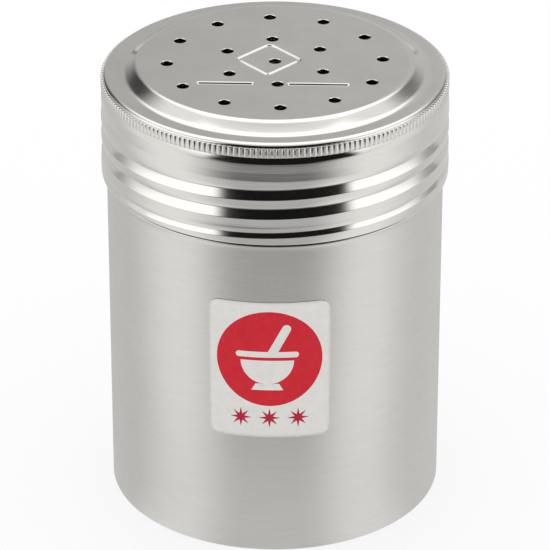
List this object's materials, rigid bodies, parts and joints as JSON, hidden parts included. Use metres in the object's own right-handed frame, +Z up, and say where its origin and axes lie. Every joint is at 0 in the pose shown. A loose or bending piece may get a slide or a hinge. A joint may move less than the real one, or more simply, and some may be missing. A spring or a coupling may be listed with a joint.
{
  "type": "spice shaker",
  "caption": "Round steel shaker can with a label and a screw-on stamped lid whose raised top is pierced with small holes in two rings.",
  "frame": {"origin": "centre of the foot, on the surface the can stands on", "axes": "+Z up the can's axis through the lid; the label faces -Y"},
  "size_m": [0.066, 0.066, 0.088],
  "materials": {
    "can_steel": "fine satin brushing round the can",
    "lid_steel": "satin top, bright rolled skirt",
    "seal": "matt food-grade silicone",
    "sticker": "printed film with a soft gloss"
  },
  "bodies": {
    "can": {"can_body": "can_steel", "label": "sticker"},
    "gasket": {"lid_gasket": "seal"},
    "lid": {"lid": "lid_steel"}
  },
  "joints": [
    {"name": "lid_lift", "type": "slide", "parent": "can", "child": "gasket", "axis": [0, 0, 1], "range_m": [0, 0.00966]},
    {"name": "lid_turn", "type": "hinge", "parent": "gasket", "child": "lid", "pos_m": [0, 0, 0.0859], "axis": [0, 0, 1], "range_deg": [0, 900]}
  ],
  "couplings": [
    {"joint": "lid_lift", "follows": "lid_turn", "m_per_rad": 0.00061434}
  ]
}
